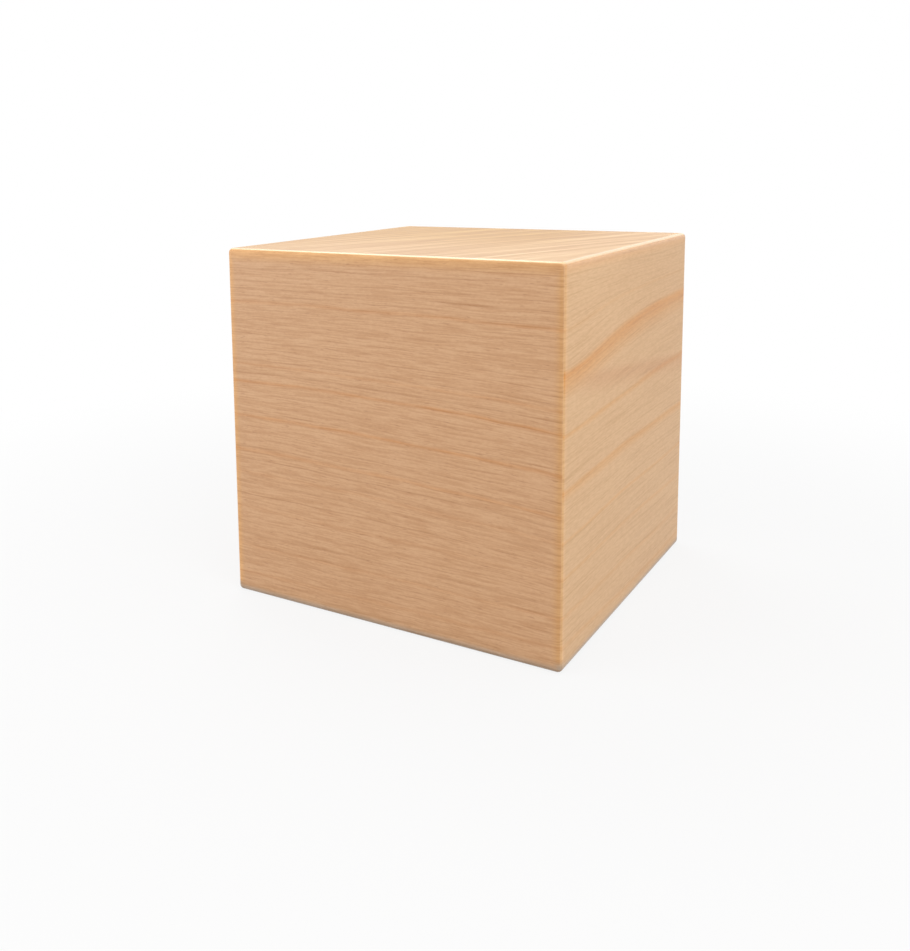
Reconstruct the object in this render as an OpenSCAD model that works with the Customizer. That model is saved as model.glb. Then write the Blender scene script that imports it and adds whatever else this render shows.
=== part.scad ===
// Wooden cube: one solid block of light hardwood with its edges and corners eased by sanding.
//
// The block stands on the plane z = 0, with the origin in the middle of its bottom face.
// +Z points up and the front face looks towards -Y. The fibres of the wood run along Y, so
// the front and back faces are end grain and the other four are long grain.

/* [Block] */
// Length of every side of the cube, in mm
side = 75; // [25:1:150]

/* [Edges] */
// Radius to which the edges and corners are sanded, in mm
edge_r = 1; // [0.3:0.1:6]

/* [Hidden] */

$fn = 64;

// Colour of the bare wood
wood = "#EBCB9E";

// The straight part of each side, between one sanded edge and the next
flat = side - 2 * edge_r;

// How far the centre of each rounding lies from the middle of the block, along each axis
reach = flat / 2;

// The two ends of an axis
ends = [-1, 1];

// The four edges that run along Z
module upright_edges() {
    for (x = ends, y = ends)
        translate([x * reach, y * reach, 0])
            cylinder(h = flat, r = edge_r, center = true);
}

// The eight corners, each a ball that its three edges run into
module corners() {
    for (x = ends, y = ends, z = ends)
        translate([x, y, z] * reach)
            sphere(r = edge_r);
}

module wooden_cube() {
    color(wood)
        translate([0, 0, side / 2])
            union() {
                // Three slabs cross in the middle, and each one reaches two opposite faces
                cube([side, flat, flat], center = true);
                cube([flat, side, flat], center = true);
                cube([flat, flat, side], center = true);
                // The edges along Z, then Y, then X
                upright_edges();
                rotate([90, 0, 0]) upright_edges();
                rotate([0, 90, 0]) upright_edges();
                corners();
            }
}

wooden_cube();
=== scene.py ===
import math

import bmesh
import bpy
from mathutils import Matrix, Vector


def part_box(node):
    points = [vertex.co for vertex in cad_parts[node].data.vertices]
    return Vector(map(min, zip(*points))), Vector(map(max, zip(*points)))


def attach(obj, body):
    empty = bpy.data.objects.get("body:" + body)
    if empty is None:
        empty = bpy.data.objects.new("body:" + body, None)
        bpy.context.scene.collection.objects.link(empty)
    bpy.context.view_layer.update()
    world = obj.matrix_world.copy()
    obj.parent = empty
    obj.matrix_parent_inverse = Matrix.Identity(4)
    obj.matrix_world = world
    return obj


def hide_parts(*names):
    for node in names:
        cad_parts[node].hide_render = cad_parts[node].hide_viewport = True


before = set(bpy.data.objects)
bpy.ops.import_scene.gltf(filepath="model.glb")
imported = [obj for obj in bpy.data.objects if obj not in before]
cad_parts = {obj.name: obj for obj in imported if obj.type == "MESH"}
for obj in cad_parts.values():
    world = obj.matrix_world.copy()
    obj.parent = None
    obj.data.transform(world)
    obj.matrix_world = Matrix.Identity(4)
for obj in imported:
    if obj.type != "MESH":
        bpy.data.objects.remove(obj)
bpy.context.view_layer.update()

# ---------------------------------------------------------------------------------------------
# Sizes, in metres unless the name says otherwise
# ---------------------------------------------------------------------------------------------

MM = 0.001

low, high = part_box("wooden_cube")
side = high.x - low.x
middle = (low + high) / 2

EDGE_RADIUS = 1.0 * MM
EDGE_SEGMENTS = 10
# Width of the strips that each face is cut into, and how near two cuts may come
FACE_STRIP = 1.5 * MM
CUT_GAP = 0.0001 * MM

# The camera stands this far round from the front face's normal, and above the horizon
CAMERA_AZIMUTH = 26.88
CAMERA_ELEVATION = 13.74
# Its distance from the middle of the block, in sides of the block
CAMERA_DISTANCE = 3.108
# The lens points past the middle of the block by this much, and leans over a little
LENS_TURN = 5.36
LENS_TILT = -5.77
LENS_ROLL = -0.85
LENS_MM = 38.69
LENS_SHIFT = (0.0856, -0.1816)
NEAREST_SEEN = 0.01

FLOOR_REACH = 4.0
# The floor's own light and shadow show round the block, and it is plain white from further out
PAPER_NEAR, PAPER_FAR = side, 3 * side


# ---------------------------------------------------------------------------------------------
# Helpers
# ---------------------------------------------------------------------------------------------

# A Mix node's sockets for its two numbers and its two colours, and the one that gives the mixed colour
NUMBER_A, NUMBER_B, COLOUR_A, COLOUR_B = 2, 3, 6, 7
MIXED_COLOUR = 2


def linear(hex_colour):
    """An sRGB hex colour as linear red, green, blue and alpha."""
    channels = [int(hex_colour[i:i + 2], 16) / 255 for i in (1, 3, 5)]
    return [c / 12.92 if c <= 0.04045 else ((c + 0.055) / 1.055) ** 2.4 for c in channels] + [1]


def add_node(tree, kind, inputs=None, **settings):
    """Adds a node, sets it up, and fills its inputs with values or with links from other sockets."""
    made = tree.nodes.new(kind)
    for name, value in settings.items():
        setattr(made, name, value)
    for socket, value in (inputs or {}).items():
        if isinstance(value, bpy.types.NodeSocket):
            tree.links.new(value, made.inputs[socket])
        else:
            made.inputs[socket].default_value = value
    return made


def new_material(name):
    """An empty node material, with its node tree."""
    material = bpy.data.materials.new(name)
    material.use_nodes = True
    material.node_tree.nodes.clear()
    return material, material.node_tree


def new_piece(name, bm):
    """Puts a finished bmesh into the scene, with its object at the origin."""
    mesh = bpy.data.meshes.new(name)
    bm.to_mesh(mesh)
    bm.free()
    piece = bpy.data.objects.new(name, mesh)
    bpy.context.scene.collection.objects.link(piece)
    return piece


# ---------------------------------------------------------------------------------------------
# The block
# ---------------------------------------------------------------------------------------------

def make_block():
    """The cube with every edge and corner rounded, its faces cut into small squares."""
    bm = bmesh.new()
    bmesh.ops.create_cube(bm, size=side, matrix=Matrix.Translation(middle))
    bmesh.ops.bevel(
        bm, geom=bm.edges[:], offset=EDGE_RADIUS, segments=EDGE_SEGMENTS,
        profile=0.5, affect="EDGES", material=-1,
    )
    flat = side - 2 * EDGE_RADIUS
    strips = round(flat / FACE_STRIP)
    for axis in range(3):
        normal = Vector([float(i == axis) for i in range(3)])
        for cut in range(1, strips):
            point = middle + normal * (flat * cut / strips - flat / 2)
            bmesh.ops.bisect_plane(
                bm, geom=bm.verts[:] + bm.edges[:] + bm.faces[:],
                dist=CUT_GAP, plane_co=point, plane_no=normal,
            )
    block = new_piece("wooden_cube_block", bm)
    block.data.shade_smooth()
    return block


# ---------------------------------------------------------------------------------------------
# The wood: maple, sawn with its fibres running from front to back, sanded and given a satin lacquer
# ---------------------------------------------------------------------------------------------

# All sizes here are in millimetres. Depth is measured down from the top.
HALF = side / MM / 2

# End grain drinks more lacquer than long grain, so the front and back are a shade deeper
END_GRAIN = "#CDA27B"
SIDE_GRAIN = "#D6AE80"
LEVEL_GRAIN = "#D5B386"
# The rims, rubbed smooth, where the lacquer gathers: amber, deepest high on the sides, and paler on the top.
# The amber is partly the lacquer's tint and partly painted light, lighter where the rounded edges catch the
# lamps and most of all at the left end; the paler top rims are a painted highlight.
AMBER_LEFT_END = "#DEAA70"
AMBER_RIGHT_END = "#CE9E6A"
AMBER_SIDE = "#DFB27F"
AMBER_HIGH_SIDE = "#DBA66F"
PAINTED_HIGHLIGHT_TOP_RIM = "#DAB882"
# Painted shade: the bottom rims are darker and greyer, as in the shade where the block stands on the floor
PAINTED_BOTTOM_SHADE = "#B09A86"
# What each kind of darker mark lets through of the body colour
LATE_WOOD = "#DACAB1"
STREAK = "#DECBAF"
PORE = "#D8C8B8"
BROWN_STREAK = "#F5E8E0"
ORANGE_END_RING = "#FADFB2"
ORANGE_LONG_RING = "#FDDCA0"
# Partly painted sheen on the top: the back left is made warmer and deeper, so that the front and right stay
# paler where the shine lies
WARMER_AND_PAINTED_SHEEN = "#F0E6B9"
REDDER = "#F8F4EC"

# How squarely a place faces front, back, up or down before it starts to look like that face, and fully does
FACE_STARTS, FACE_FULL = 0.55, 0.80
# How far in from an edge its rim is at its fullest, and how far the amber and the wear reach
RIM_FULL, AMBER_REACH, WORN_REACH = 0.3, 2.3, 1.6
# How far down from the rims of the top the lacquer ran, which makes them deeper. That band is partly the
# lacquer's tint and partly painted light from the rounded edge above.
RUN_DOWN = 3.3
# Heights above the bottom where the painted shade starts and where it is full
BOTTOM_SHADE_STARTS, BOTTOM_SHADE_FULL = 2.6, 0.9

# The wood that one year adds
YEAR = 1.5
# Over how much wood a good or poor spell lasts, how far it shifts the rings, and how fine and rough it is
GROWTH_SPELL, GROWTH_SHIFT, GROWTH_DETAIL, GROWTH_ROUGHNESS = 4.0, 3.0, 2.0, 0.6
# The shares of a year at which its late wood starts, is darkest, starts to end, and has given way to spring's
LATE_STARTS, LATE_FULL, LATE_STOPS, SPRING_STARTS = 0.60, 0.82, 0.84, 0.94
# How dark the palest year is beside the darkest, and the least that shows where a line fades
PALEST_YEAR, FADED_LINE = 0.2, 0.25
# How far the rings sag at the middle depth of the block, and how the sag goes from left to right
RING_SAG = 2.8
SAG_AT_LEFT, SAG_SLOPE, SAG_BEND = 1.0, 0.3, -1.3
# How far they climb from front to back near the top, in the middle and near the bottom
CLIMB_HIGH, CLIMB_MIDDLE, CLIMB_LOW = 7.0, 1.2, -1.5
# The depths between which each change of the climb comes in, and how large it is
CLIMBS = (
    (2.0, 14.0, CLIMB_HIGH),
    (16.0, 34.0, CLIMB_MIDDLE - CLIMB_HIGH),
    (40.0, 75.0, CLIMB_LOW - CLIMB_MIDDLE),
)
# The share of the way back in which they climb most steeply, and how suddenly they start to
CLIMB_REACH, CLIMB_START = 0.42, 1.6
# A slow wander and a small ripple keep the rings uneven: how large each is, and how far it shifts a ring
WANDERS = (((60, 60, 14), 1.0), ((14, 30, 2.5), 0.35))
WANDER_DETAIL, WANDER_ROUGHNESS = 2.0, 0.5
# The fibres lean towards the right as they run back, and dip
FIBRE_TURN = 20.4
FIBRE_DIP = 6.0

# Depths along the near edge at which darker rings cross it. Each has the widths over which it fades
# upwards and downwards, then its strength. Some show on the end grain, others on the long grain.
END_RINGS = [
    (11.8, 0.5, 0.4, 0.60),
    (26.4, 0.5, 0.4, 0.40),
    (30.4, 0.5, 0.5, 0.75),
    (38.2, 0.5, 0.5, 0.85),
    (45.8, 0.6, 0.4, 0.60),
    (50.4, 0.4, 0.4, 0.20),
    (57.0, 0.4, 0.5, 0.15),
    (64.5, 0.5, 0.5, 0.25),
    (70.4, 0.5, 0.5, 0.30),
]
LONG_RINGS = [
    (11.8, 0.5, 0.6, 0.25),
    (20.0, 1.3, 4.5, 1.00),
    (30.8, 0.5, 0.8, 0.60),
    (41.2, 0.7, 2.0, 0.65),
    (50.4, 0.4, 0.5, 0.45),
    (57.0, 0.4, 0.7, 0.40),
    (64.5, 0.5, 0.9, 0.30),
    (70.4, 0.5, 1.0, 0.35),
]
# The least that shows of them where the lines fade, on the end grain and on the long grain
FADED_END_RING, FADED_LONG_RING = 0.45, 0.7

# A faint brown streak sinks with the fibres: its depth at the front, and how far it fades up and down
BROWN_DEPTH, BROWN_ABOVE, BROWN_BELOW = 21.4, 2.0, 4.0
# It starts this far from the front, and is at its darkest from here on
BROWN_START, BROWN_FULL = 2.0, 18.0
# Towards the back the colour warms, and is at its warmest from this far behind the middle. It is the wood's
# own tone, and on the top partly painted sheen as well.
WARM_FULL = HALF * 0.5
# On the top, the warmth gives out between these places from left to right
WARM_STOPS, WARM_GONE = HALF * 0.2, HALF * 0.8
# On the sides, it is strongest above the first of these depths, and gone by the second
RED_FULL, RED_GONE = 6.0, 64.0

# Uneven marks. Each has what it follows, how far it runs from left to right, from front to back and down,
# how finely it is broken up, and the levels between which it goes from missing to full. The vessels are
# drawn coarser than they are in maple, so that they show.
UNEVEN_MARKS = {
    "fading": ("rings", (8, 14, 1.1), 3.0, 0.34, 0.66),
    "threads": ("rings", (6, 8, 0.3), 1.0, 0.36, 0.68),
    "hairs": ("rings", (14, 20, 0.32), 2.0, 0.45, 0.75),
    "specks": ("block", (0.8, 2.0, 0.35), 1.0, 0.34, 0.66),
    "pores": ("rings", (2.2, 2.2, 0.28), 1.0, 0.62, 0.74),
    "bands": ("rings", (30, 30, 1.6), 1.0, 0.32, 0.68),
    "streaks": ("fibres", (1.9, 90, 9), 1.0, 0.32, 0.68),
    "fine_streaks": ("fibres", (1.0, 90, 5), 1.0, 0.34, 0.66),
    "vessels": ("fibres", (0.34, 9, 1.5), 2.0, 0.46, 0.70),
}
MARK_ROUGHNESS = 0.55
# The marks that rubbing has taken off the rims of the top
RUBBED_OFF = ("streaks", "fine_streaks", "vessels")
# Every mark's colour, then how strongly it shows on the sides, on the top and bottom, and on the end grain
MARK_COLOURS = {
    "years": (LATE_WOOD, 0.25, 0.08, 0.62),
    "threads": (STREAK, 0.05, 0.0, 0.42),
    "hairs": (STREAK, 0.40, 0.0, 0.0),
    "specks": (STREAK, 0.24, 0.0, 0.16),
    "pores": (PORE, 0.0, 0.0, 0.50),
    "bands": (STREAK, 0.08, 0.0, 0.11),
    "streaks": (STREAK, 0.0, 0.64, 0.0),
    "fine_streaks": (STREAK, 0.0, 0.82, 0.0),
    "vessels": (STREAK, 0.0, 0.62, 0.0),
    "brown_streak": (BROWN_STREAK, 0.8, 0.0, 0.0),
    "end_rings": (ORANGE_END_RING, 0.0, 0.0, 1.0),
    "long_rings": (ORANGE_LONG_RING, 1.0, 0.3, 0.0),
    "warm_top_and_sheen": (WARMER_AND_PAINTED_SHEEN, 0.0, 1.0, 0.0),
    "red_side": (REDDER, 1.0, 0.0, 0.0),
}
# How strongly the rims' colours show, with their painted light and highlight, on the sides, on the top and
# bottom, and on the end grain
AMBER_SHOWS = (0.8, 0.9, 1.0)

# Satin lacquer over sanded wood: how rough it is on long grain, on end grain and on the rubbed rims
LONG_ROUGHNESS, END_ROUGHNESS, RIM_ROUGHNESS = 0.44, 0.54, 0.25
LACQUER_IOR = 1.5
# The lacquer that gathers along the rims of the top is this much of a full coat, and shines like this
RIM_COAT, COAT_ROUGHNESS = 0.52, 0.18
# Late wood is harder: how far it stands proud of the sanded face, how crisply, and how much smoother it is
PROUD, PROUD_STRENGTH, LATE_SMOOTHER = 0.02, 0.3, -0.06


def block_places(tree):
    """Places in the wood, in millimetres: the vector, then x, y and the depth below the top."""
    places = add_node(tree, "ShaderNodeTexCoord")
    scaled = add_node(tree, "ShaderNodeVectorMath", {
        0: places.outputs["Object"], "Scale": 1 / MM,
    }, operation="SCALE").outputs[0]
    axes = add_node(tree, "ShaderNodeSeparateXYZ", {0: scaled})
    depth = add_node(tree, "ShaderNodeMath", {0: 2 * HALF, 1: axes.outputs[2]}, operation="SUBTRACT")
    return scaled, axes.outputs[0], axes.outputs[1], depth.outputs[0]


def face_shares(tree):
    """1 on the end grain of the front and back, then 1 on the top and bottom. Both change round the edges."""
    facing = add_node(tree, "ShaderNodeNewGeometry")
    axes = add_node(tree, "ShaderNodeSeparateXYZ", {0: facing.outputs["Normal"]})
    shares = []
    for axis in ("Y", "Z"):
        turned = add_node(tree, "ShaderNodeMath", {0: axes.outputs[axis]}, operation="ABSOLUTE")
        shares.append(add_node(tree, "ShaderNodeMapRange", {
            "Value": turned.outputs[0], "From Min": FACE_STARTS, "From Max": FACE_FULL,
        }, interpolation_type="SMOOTHSTEP").outputs[0])
    return shares


def rim_share(tree, places, reach):
    """1 on the rounded edges, fading to 0 at this reach in from them."""
    centred = add_node(tree, "ShaderNodeVectorMath", {0: places, 1: (0, 0, HALF)}, operation="SUBTRACT")
    away = add_node(tree, "ShaderNodeVectorMath", {0: centred.outputs[0]}, operation="ABSOLUTE")
    inset = add_node(tree, "ShaderNodeVectorMath", {
        0: (HALF, HALF, HALF), 1: away.outputs[0],
    }, operation="SUBTRACT")
    a, b, c = add_node(tree, "ShaderNodeSeparateXYZ", {0: inset.outputs[0]}).outputs
    # The face itself is the nearest of the three, so the nearest edge is the middle one
    low_two = add_node(tree, "ShaderNodeMath", {0: a, 1: b}, operation="MINIMUM")
    high_two = add_node(tree, "ShaderNodeMath", {0: a, 1: b}, operation="MAXIMUM")
    rest = add_node(tree, "ShaderNodeMath", {0: high_two.outputs[0], 1: c}, operation="MINIMUM")
    inwards = add_node(tree, "ShaderNodeMath", {
        0: low_two.outputs[0], 1: rest.outputs[0],
    }, operation="MAXIMUM")
    return add_node(tree, "ShaderNodeMapRange", {
        "Value": inwards.outputs[0], "From Min": RIM_FULL, "From Max": reach, "To Min": 1.0, "To Max": 0.0,
    }, interpolation_type="SMOOTHSTEP").outputs[0]


def uneven_marks(tree, places, size, detail, faintest, fullest):
    """Uneven marks of about this size, from 0 where they are missing to 1 where they are full."""
    stretched = add_node(tree, "ShaderNodeVectorMath", {0: places, 1: size}, operation="DIVIDE")
    cloud = add_node(tree, "ShaderNodeTexNoise", {
        "Vector": stretched.outputs[0], "Scale": 1.0, "Detail": detail, "Roughness": MARK_ROUGHNESS,
    })
    return add_node(tree, "ShaderNodeMapRange", {
        "Value": cloud.outputs["Fac"], "From Min": faintest, "From Max": fullest,
    }, interpolation_type="SMOOTHSTEP").outputs[0]


def ring_depth(tree, places, x, y, depth):
    """The depth at which the ring through each place meets the near edge."""
    across = add_node(tree, "ShaderNodeMapRange", {"Value": x, "From Min": -HALF, "From Max": HALF})
    back = add_node(tree, "ShaderNodeMapRange", {"Value": y, "From Min": -HALF, "From Max": HALF})

    # The rings sag from left to right, most of all across the middle of the block
    swing = add_node(tree, "ShaderNodeMath", {0: depth, 1: math.pi / (2 * HALF)}, operation="MULTIPLY")
    swing = add_node(tree, "ShaderNodeMath", {0: swing.outputs[0]}, operation="SINE")
    sag = add_node(tree, "ShaderNodeMath", {0: swing.outputs[0], 1: swing.outputs[0]}, operation="MULTIPLY")
    bow = add_node(tree, "ShaderNodeMath", {
        0: across.outputs[0], 1: SAG_BEND, 2: SAG_SLOPE,
    }, operation="MULTIPLY_ADD")
    bow = add_node(tree, "ShaderNodeMath", {
        0: bow.outputs[0], 1: across.outputs[0], 2: SAG_AT_LEFT,
    }, operation="MULTIPLY_ADD")
    sag = add_node(tree, "ShaderNodeMath", {0: sag.outputs[0], 1: bow.outputs[0]}, operation="MULTIPLY")
    rings = add_node(tree, "ShaderNodeMath", {
        0: sag.outputs[0], 1: RING_SAG, 2: depth,
    }, operation="MULTIPLY_ADD")

    # They climb towards the back high in the block, and drop a little low in it
    climb = 0.0
    for starts, ends, change in CLIMBS:
        step = add_node(tree, "ShaderNodeMapRange", {
            "Value": depth, "From Min": starts, "From Max": ends, "To Max": change,
        }, interpolation_type="SMOOTHSTEP")
        climb = add_node(tree, "ShaderNodeMath", {0: climb, 1: step.outputs[0]}, operation="ADD").outputs[0]
    level = add_node(tree, "ShaderNodeMath", {0: back.outputs[0], 1: CLIMB_REACH}, operation="DIVIDE")
    level = add_node(tree, "ShaderNodeMath", {0: level.outputs[0], 1: CLIMB_START}, operation="POWER")
    level = add_node(tree, "ShaderNodeMath", {0: 0.0, 1: level.outputs[0]}, operation="SUBTRACT")
    level = add_node(tree, "ShaderNodeMath", {0: level.outputs[0]}, operation="EXPONENT")
    level = add_node(tree, "ShaderNodeMath", {0: 1.0, 1: level.outputs[0]}, operation="SUBTRACT")
    rings = add_node(tree, "ShaderNodeMath", {
        0: climb, 1: level.outputs[0], 2: rings.outputs[0],
    }, operation="MULTIPLY_ADD")

    for size, most in WANDERS:
        stretched = add_node(tree, "ShaderNodeVectorMath", {0: places, 1: size}, operation="DIVIDE")
        wander = add_node(tree, "ShaderNodeTexNoise", {
            "Vector": stretched.outputs[0], "Scale": 1.0,
            "Detail": WANDER_DETAIL, "Roughness": WANDER_ROUGHNESS,
        })
        wander = add_node(tree, "ShaderNodeMapRange", {
            "Value": wander.outputs["Fac"], "To Min": -most, "To Max": most,
        })
        rings = add_node(tree, "ShaderNodeMath", {
            0: rings.outputs[0], 1: wander.outputs[0],
        }, operation="ADD")
    return rings.outputs[0]


def year_lines(tree, rings, fading):
    """The thin dark line of late wood that closes each year, some years darker than others."""
    # Good years and poor ones, so the lines lie closer together in some places than in others
    growth = add_node(tree, "ShaderNodeTexNoise", {
        "W": rings, "Scale": 1 / GROWTH_SPELL,
        "Detail": GROWTH_DETAIL, "Roughness": GROWTH_ROUGHNESS,
    }, noise_dimensions="1D")
    shifted = add_node(tree, "ShaderNodeMath", {
        0: growth.outputs["Fac"], 1: GROWTH_SHIFT, 2: rings,
    }, operation="MULTIPLY_ADD")
    year = add_node(tree, "ShaderNodeMath", {0: shifted.outputs[0], 1: YEAR}, operation="DIVIDE")
    within = add_node(tree, "ShaderNodeMath", {0: year.outputs[0]}, operation="FRACT").outputs[0]
    number = add_node(tree, "ShaderNodeMath", {0: year.outputs[0]}, operation="FLOOR")
    darkness = add_node(tree, "ShaderNodeTexWhiteNoise", {"W": number.outputs[0]}, noise_dimensions="1D")
    late = add_node(tree, "ShaderNodeMapRange", {
        "Value": within, "From Min": LATE_STARTS, "From Max": LATE_FULL,
    }, interpolation_type="SMOOTHSTEP")
    early = add_node(tree, "ShaderNodeMapRange", {
        "Value": within, "From Min": LATE_STOPS, "From Max": SPRING_STARTS, "To Min": 1.0, "To Max": 0.0,
    }, interpolation_type="SMOOTHSTEP")
    line = add_node(tree, "ShaderNodeMath", {0: late.outputs[0], 1: early.outputs[0]}, operation="MULTIPLY")
    weight = add_node(tree, "ShaderNodeMapRange", {
        "Value": darkness.outputs["Value"], "To Min": PALEST_YEAR, "To Max": 1.0,
    })
    for share in (weight.outputs[0], fading):
        line = add_node(tree, "ShaderNodeMath", {0: line.outputs[0], 1: share}, operation="MULTIPLY")
    return line.outputs[0]


def slow_rings(tree, rings, chosen, fading, faded):
    """A few rings of slower years, at their depths, which fade in places to this share of themselves."""
    place = add_node(tree, "ShaderNodeMath", {0: rings, 1: 2 * HALF}, operation="DIVIDE")
    dark = add_node(tree, "ShaderNodeValToRGB", {"Fac": place.outputs[0]})
    stops = dark.color_ramp.elements
    stops[0].color = (0, 0, 0, 1)
    stops[1].color = (0, 0, 0, 1)
    for ring, above, below, strength in chosen:
        for stop, share in ((ring - above, 0), (ring, strength), (ring + below, 0)):
            stops.new(stop / (2 * HALF)).color = (share, share, share, 1)
    broken = add_node(tree, "ShaderNodeMapRange", {"Value": fading, "To Min": faded, "To Max": 1.0})
    return add_node(tree, "ShaderNodeMath", {
        0: dark.outputs["Color"], 1: broken.outputs[0],
    }, operation="MULTIPLY").outputs[0]


def brown_streak(tree, y, depth):
    """The faint brown streak that sinks along the fibres on the long grain."""
    back = add_node(tree, "ShaderNodeMath", {0: y, 1: HALF}, operation="ADD")
    sunk = add_node(tree, "ShaderNodeMath", {
        0: back.outputs[0], 1: -math.tan(math.radians(FIBRE_DIP)), 2: depth,
    }, operation="MULTIPLY_ADD")
    above = add_node(tree, "ShaderNodeMapRange", {
        "Value": sunk.outputs[0], "From Min": BROWN_DEPTH - BROWN_ABOVE, "From Max": BROWN_DEPTH,
    }, interpolation_type="SMOOTHSTEP")
    below = add_node(tree, "ShaderNodeMapRange", {
        "Value": sunk.outputs[0], "From Min": BROWN_DEPTH, "From Max": BROWN_DEPTH + BROWN_BELOW,
        "To Min": 1.0, "To Max": 0.0,
    }, interpolation_type="SMOOTHSTEP")
    started = add_node(tree, "ShaderNodeMapRange", {
        "Value": back.outputs[0], "From Min": BROWN_START, "From Max": BROWN_FULL,
    }, interpolation_type="SMOOTHSTEP")
    streak = above
    for share in (below, started):
        streak = add_node(tree, "ShaderNodeMath", {
            0: streak.outputs[0], 1: share.outputs[0],
        }, operation="MULTIPLY")
    return streak.outputs[0]


def warmer_wood(tree, x, y, depth):
    """Where the colour is warmer towards the back: on the left of the top, partly the wood and partly painted
    sheen, then high on the sides, from the wood.
    """
    backwards = add_node(tree, "ShaderNodeMapRange", {
        "Value": y, "From Min": -HALF, "From Max": WARM_FULL,
    }, interpolation_type="SMOOTHSTEP")
    shares = []
    for place, full, gone in ((x, WARM_STOPS, WARM_GONE), (depth, RED_FULL, RED_GONE)):
        within = add_node(tree, "ShaderNodeMapRange", {
            "Value": place, "From Min": full, "From Max": gone, "To Min": 1.0, "To Max": 0.0,
        }, interpolation_type="SMOOTHSTEP")
        shares.append(add_node(tree, "ShaderNodeMath", {
            0: backwards.outputs[0], 1: within.outputs[0],
        }, operation="MULTIPLY").outputs[0])
    return shares


def along_fibres(tree, places):
    """Places turned so that their second axis runs along the fibres."""
    turned = add_node(tree, "ShaderNodeVectorRotate", {
        "Vector": places, "Angle": math.radians(FIBRE_TURN),
    }, rotation_type="Z_AXIS")
    return add_node(tree, "ShaderNodeVectorRotate", {
        "Vector": turned.outputs[0], "Angle": math.radians(FIBRE_DIP),
    }, rotation_type="X_AXIS").outputs[0]


def shown(tree, mark, faces, on_side, on_level, on_end):
    """How strongly a mark shows at each place, given its strength on each kind of face."""
    end_grain, level_grain = faces
    share = add_node(tree, "ShaderNodeMapRange", {
        "Value": level_grain, "To Min": on_side, "To Max": on_level,
    })
    share = add_node(tree, "ShaderNodeMix", {
        "Factor": end_grain, NUMBER_A: share.outputs[0], NUMBER_B: on_end,
    }, data_type="FLOAT")
    return add_node(tree, "ShaderNodeMath", {0: mark, 1: share.outputs[0]}, operation="MULTIPLY").outputs[0]


def by_face(tree, faces, on_side, on_level, on_end):
    """One colour on the sides, one on the top and bottom and one on the end grain."""
    end_grain, level_grain = faces
    long_grain = add_node(tree, "ShaderNodeMix", {
        "Factor": level_grain, COLOUR_A: on_side, COLOUR_B: on_level,
    }, data_type="RGBA").outputs[MIXED_COLOUR]
    return add_node(tree, "ShaderNodeMix", {
        "Factor": end_grain, COLOUR_A: long_grain, COLOUR_B: on_end,
    }, data_type="RGBA").outputs[MIXED_COLOUR]


def rim_colours(tree, colour, faces, x, depth, rims):
    """The body colour with its rims: painted shade along the bottom, and amber everywhere else, partly the
    lacquer's tint and partly painted light.
    """
    # Painted shade along the bottom rims, fading out upwards
    lowest = add_node(tree, "ShaderNodeMapRange", {
        "Value": depth, "From Min": 2 * HALF - BOTTOM_SHADE_STARTS, "From Max": 2 * HALF - BOTTOM_SHADE_FULL,
    }, interpolation_type="SMOOTHSTEP")
    bottom_shade = add_node(tree, "ShaderNodeMath", {0: rims, 1: lowest.outputs[0]}, operation="MULTIPLY")
    amber = add_node(tree, "ShaderNodeMath", {0: rims, 1: bottom_shade.outputs[0]}, operation="SUBTRACT")
    # The lacquer ran down a little from the rims of the top, and is deepest there. The band is partly painted
    # light from the rounded edge above.
    run = add_node(tree, "ShaderNodeMapRange", {
        "Value": depth, "From Min": RIM_FULL, "From Max": RUN_DOWN, "To Min": 1.0, "To Max": 0.0,
    }, interpolation_type="SMOOTHSTEP")
    upright = add_node(tree, "ShaderNodeMapRange", {"Value": faces[1], "To Min": 1.0, "To Max": 0.0})
    run = add_node(tree, "ShaderNodeMath", {0: run.outputs[0], 1: upright.outputs[0]}, operation="MULTIPLY")
    amber = add_node(tree, "ShaderNodeMath", {0: amber.outputs[0], 1: run.outputs[0]}, operation="MAXIMUM")
    side_rim = add_node(tree, "ShaderNodeMix", {
        "Factor": run.outputs[0], COLOUR_A: linear(AMBER_SIDE), COLOUR_B: linear(AMBER_HIGH_SIDE),
    }, data_type="RGBA").outputs[MIXED_COLOUR]
    across = add_node(tree, "ShaderNodeMapRange", {"Value": x, "From Min": -HALF, "From Max": HALF})
    end_rim = add_node(tree, "ShaderNodeMix", {
        "Factor": across.outputs[0], COLOUR_A: linear(AMBER_LEFT_END), COLOUR_B: linear(AMBER_RIGHT_END),
    }, data_type="RGBA").outputs[MIXED_COLOUR]
    # Painted highlight: the rims of the top are paler
    rim = by_face(tree, faces, side_rim, linear(PAINTED_HIGHLIGHT_TOP_RIM), end_rim)
    amber = shown(tree, amber.outputs[0], faces, *AMBER_SHOWS)
    # Over the body colour go the rim colours, partly painted light, then the painted shade along the bottom
    for share, rubbed in ((amber, rim), (bottom_shade.outputs[0], linear(PAINTED_BOTTOM_SHADE))):
        colour = add_node(tree, "ShaderNodeMix", {
            "Factor": share, COLOUR_A: colour, COLOUR_B: rubbed,
        }, data_type="RGBA").outputs[MIXED_COLOUR]
    return colour


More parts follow.
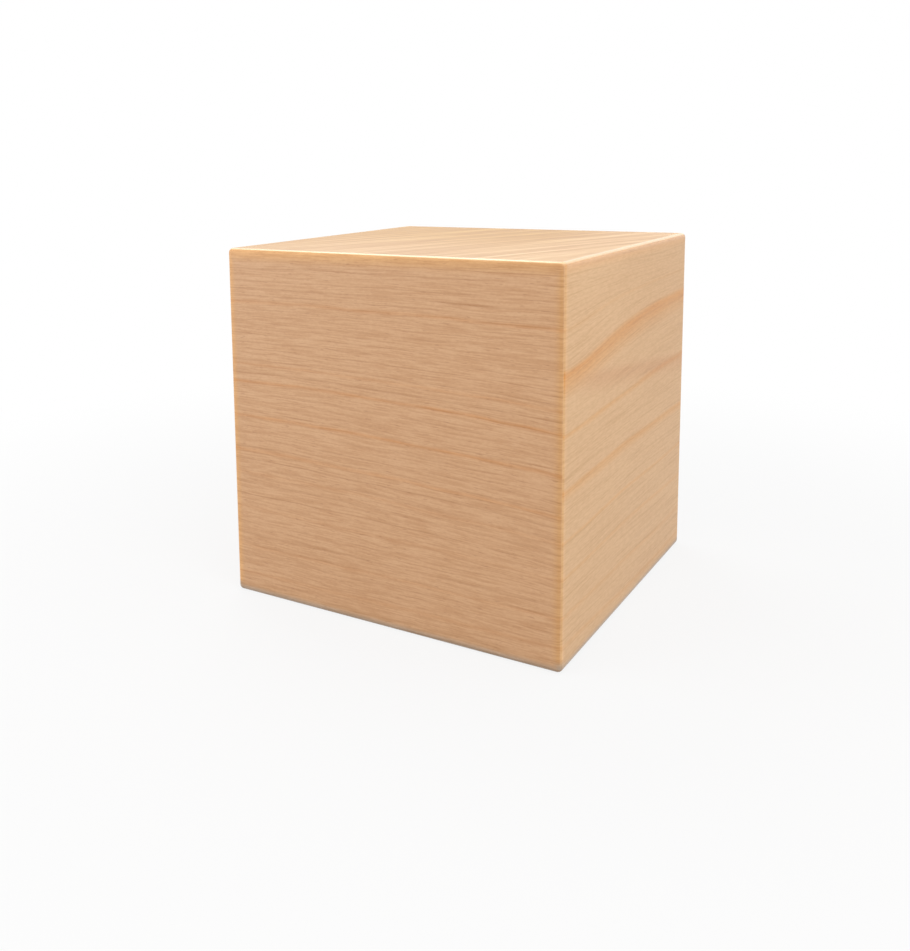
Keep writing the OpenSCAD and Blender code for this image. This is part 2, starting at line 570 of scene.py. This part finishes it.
def wood_marks(tree, places, x, y, depth, unworn):
    """Every mark in the wood by name, each from 0 where it is missing to 1 where it is full."""
    rings = ring_depth(tree, places, x, y, depth)
    follows = {
        "block": places,
        "rings": add_node(tree, "ShaderNodeCombineXYZ", {0: x, 1: y, 2: rings}).outputs[0],
        "fibres": along_fibres(tree, places),
    }
    marks = {}
    for name, (followed, *shape) in UNEVEN_MARKS.items():
        marks[name] = uneven_marks(tree, follows[followed], *shape)
    # Each line shows in some stretches and fades in others
    fading = add_node(tree, "ShaderNodeMapRange", {
        "Value": marks.pop("fading"), "To Min": FADED_LINE, "To Max": 1.0,
    }).outputs[0]
    marks["years"] = year_lines(tree, rings, fading)
    marks["end_rings"] = slow_rings(tree, rings, END_RINGS, fading, FADED_END_RING)
    marks["long_rings"] = slow_rings(tree, rings, LONG_RINGS, fading, FADED_LONG_RING)
    marks["brown_streak"] = brown_streak(tree, y, depth)
    marks["warm_top_and_sheen"], marks["red_side"] = warmer_wood(tree, x, y, depth)
    for name in RUBBED_OFF:
        rubbed = add_node(tree, "ShaderNodeMath", {0: marks[name], 1: unworn}, operation="MULTIPLY")
        marks[name] = rubbed.outputs[0]
    return marks


def satin_lacquer(tree, colour, faces, worn, unworn, relief):
    """A thin satin coat: soft on long grain, duller on end grain, and glossy along the rubbed rims."""
    end_grain, level_grain = faces
    # Late wood is harder, so it stands a hair proud of the sanded face and shines a little more
    crisp = add_node(tree, "ShaderNodeMath", {0: unworn, 1: PROUD_STRENGTH}, operation="MULTIPLY")
    bumps = add_node(tree, "ShaderNodeBump", {
        "Strength": crisp.outputs[0], "Distance": PROUD * MM, "Height": relief,
    })
    roughness = add_node(tree, "ShaderNodeMapRange", {
        "Value": end_grain, "To Min": LONG_ROUGHNESS, "To Max": END_ROUGHNESS,
    })
    roughness = add_node(tree, "ShaderNodeMath", {
        0: relief, 1: LATE_SMOOTHER, 2: roughness.outputs[0],
    }, operation="MULTIPLY_ADD")
    # End grain soaks the lacquer up, so it stays thick only on the long grain's side of an edge
    sealed = add_node(tree, "ShaderNodeMapRange", {"Value": end_grain, "To Min": 1.0, "To Max": 0.0})
    sealed = add_node(tree, "ShaderNodeMath", {0: sealed.outputs[0], 1: worn}, operation="MULTIPLY")
    roughness = add_node(tree, "ShaderNodeMix", {
        "Factor": sealed.outputs[0], NUMBER_A: roughness.outputs[0], NUMBER_B: RIM_ROUGHNESS,
    }, data_type="FLOAT")
    film = add_node(tree, "ShaderNodeMath", {0: level_grain, 1: RIM_COAT}, operation="MULTIPLY")
    film = add_node(tree, "ShaderNodeMath", {
        0: sealed.outputs[0], 1: film.outputs[0],
    }, operation="MULTIPLY")
    return add_node(tree, "ShaderNodeBsdfPrincipled", {
        "Base Color": colour,
        "Roughness": roughness.outputs[0],
        "IOR": LACQUER_IOR,
        "Normal": bumps.outputs[0],
        "Coat Weight": film.outputs[0],
        "Coat Roughness": COAT_ROUGHNESS,
    }).outputs["BSDF"]


def wood_material():
    """Maple under a thin satin lacquer: pale and warm, softly shining, with fine even lines."""
    material, tree = new_material("maple_sanded_and_lacquered")
    places, x, y, depth = block_places(tree)
    faces = face_shares(tree)
    worn = rim_share(tree, places, WORN_REACH)
    unworn = add_node(tree, "ShaderNodeMapRange", {"Value": worn, "To Min": 1.0, "To Max": 0.0}).outputs[0]
    marks = wood_marks(tree, places, x, y, depth, unworn)

    colour = by_face(tree, faces, linear(SIDE_GRAIN), linear(LEVEL_GRAIN), linear(END_GRAIN))
    colour = rim_colours(tree, colour, faces, x, depth, rim_share(tree, places, AMBER_REACH))
    shares = {}
    for name, (kept, *strengths) in MARK_COLOURS.items():
        shares[name] = shown(tree, marks[name], faces, *strengths)
        colour = add_node(tree, "ShaderNodeMix", {
            "Factor": shares[name], COLOUR_A: colour, COLOUR_B: linear(kept),
        }, data_type="RGBA", blend_type="MULTIPLY").outputs[MIXED_COLOUR]

    relief = add_node(tree, "ShaderNodeMath", {0: shares["threads"], 1: shares["years"]}, operation="ADD")
    surface = satin_lacquer(tree, colour, faces, worn, unworn, relief.outputs[0])
    add_node(tree, "ShaderNodeOutputMaterial", {"Surface": surface})
    return material


# ---------------------------------------------------------------------------------------------
# The floor and the studio
# ---------------------------------------------------------------------------------------------

PAPER = "#CDCDCD"
WHITE = "#FFFFFF"
# How much of what the camera sees of the floor is plain white, near the block and far from it
GLOW_NEAR, GLOW_FAR = 0.84, 1.0
# The strength of the white all round: as light on the block, and as it is seen
WHITE_AS_LIGHT, WHITE_AS_SEEN = 0.35, 1.0

# Each softbox's azimuth and elevation from the block, its distance and size, and its power in watts
SOFTBOXES = {
    "left_softbox": (-50, 18, 0.52, 0.5, 1.82),
    "right_softbox": (66, 13, 0.7, 0.4, 1.62),
    "top_softbox": (72, 66, 0.36, 0.4, 0.98),
    "back_left_softbox": (-128, 56, 0.5, 0.28, 0.85),
    "back_softbox": (-178, 20, 0.5, 0.7, 0.35),
}


def seen_directly(tree):
    """1 for what the camera sees, also in a reflection or through glass."""
    path = add_node(tree, "ShaderNodeLightPath")
    seen = add_node(tree, "ShaderNodeMath", {
        0: path.outputs["Is Camera Ray"], 1: path.outputs["Is Glossy Ray"],
    }, operation="MAXIMUM")
    return add_node(tree, "ShaderNodeMath", {
        0: seen.outputs[0], 1: path.outputs["Is Transmission Ray"],
    }, operation="MAXIMUM").outputs[0]


def floor_material():
    """Matt white paper: it takes the block's soft shadow, and runs out into plain white."""
    material, tree = new_material("white_paper_floor")
    places = add_node(tree, "ShaderNodeTexCoord")
    reach = add_node(tree, "ShaderNodeVectorMath", {0: places.outputs["Object"]}, operation="LENGTH")
    glowing = add_node(tree, "ShaderNodeMapRange", {
        "Value": reach.outputs["Value"], "From Min": PAPER_NEAR, "From Max": PAPER_FAR,
        "To Min": GLOW_NEAR, "To Max": GLOW_FAR,
    }, interpolation_type="SMOOTHSTEP")
    share = add_node(tree, "ShaderNodeMath", {
        0: seen_directly(tree), 1: glowing.outputs[0],
    }, operation="MULTIPLY")
    paper = add_node(tree, "ShaderNodeBsdfDiffuse", {"Color": linear(PAPER)})
    glow = add_node(tree, "ShaderNodeEmission", {"Color": linear(WHITE), "Strength": WHITE_AS_SEEN})
    mix = add_node(tree, "ShaderNodeMixShader", {
        0: share.outputs[0], 1: paper.outputs[0], 2: glow.outputs[0],
    })
    add_node(tree, "ShaderNodeOutputMaterial", {"Surface": mix.outputs[0]})
    return material


def make_floor():
    bm = bmesh.new()
    bmesh.ops.create_grid(bm, x_segments=1, y_segments=1, size=FLOOR_REACH)
    floor = new_piece("floor", bm)
    floor.data.materials.append(floor_material())


def make_world():
    world = bpy.data.worlds.new("white_studio")
    bpy.context.scene.world = world
    world.use_nodes = True
    tree = world.node_tree
    tree.nodes.clear()
    strength = add_node(tree, "ShaderNodeMapRange", {
        "Value": seen_directly(tree), "To Min": WHITE_AS_LIGHT, "To Max": WHITE_AS_SEEN,
    })
    background = add_node(tree, "ShaderNodeBackground", {
        "Color": linear(WHITE), "Strength": strength.outputs[0],
    })
    add_node(tree, "ShaderNodeOutputWorld", {"Surface": background.outputs[0]})


def direction(azimuth, elevation):
    """Points from the block towards a place at this azimuth and elevation, in degrees."""
    a, e = math.radians(azimuth), math.radians(elevation)
    return Vector((math.sin(a) * math.cos(e), -math.cos(a) * math.cos(e), math.sin(e)))


def make_softbox(name, azimuth, elevation, distance, size, watts):
    lamp = bpy.data.lights.new(name, "AREA")
    lamp.shape = "SQUARE"
    lamp.size = size
    lamp.energy = watts
    softbox = bpy.data.objects.new(name, lamp)
    bpy.context.scene.collection.objects.link(softbox)
    away = direction(azimuth, elevation)
    softbox.location = middle + away * distance
    softbox.rotation_euler = away.to_track_quat("Z", "Y").to_euler()
    softbox.visible_camera = False


def make_camera():
    lens = bpy.data.cameras.new("camera")
    lens.lens = LENS_MM
    lens.shift_x, lens.shift_y = LENS_SHIFT
    lens.clip_start = NEAREST_SEEN
    camera = bpy.data.objects.new("camera", lens)
    bpy.context.scene.collection.objects.link(camera)
    place = middle + direction(CAMERA_AZIMUTH, CAMERA_ELEVATION) * CAMERA_DISTANCE * side
    back = direction(CAMERA_AZIMUTH + LENS_TURN, CAMERA_ELEVATION + LENS_TILT)
    level = Vector((0, 0, 1)).cross(back).normalized()
    axes = Matrix((level, back.cross(level), back)).transposed().to_4x4()
    lean = Matrix.Rotation(math.radians(LENS_ROLL), 4, "Z")
    camera.matrix_world = Matrix.Translation(place) @ axes @ lean
    bpy.context.scene.camera = camera


# ---------------------------------------------------------------------------------------------
# The scene
# ---------------------------------------------------------------------------------------------

block = make_block()
block.data.materials.append(wood_material())
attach(block, "root")
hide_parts("wooden_cube")

make_floor()
make_world()
for name, setup in SOFTBOXES.items():
    make_softbox(name, *setup)
make_camera()
bpy.context.scene.view_settings.view_transform = "Standard"
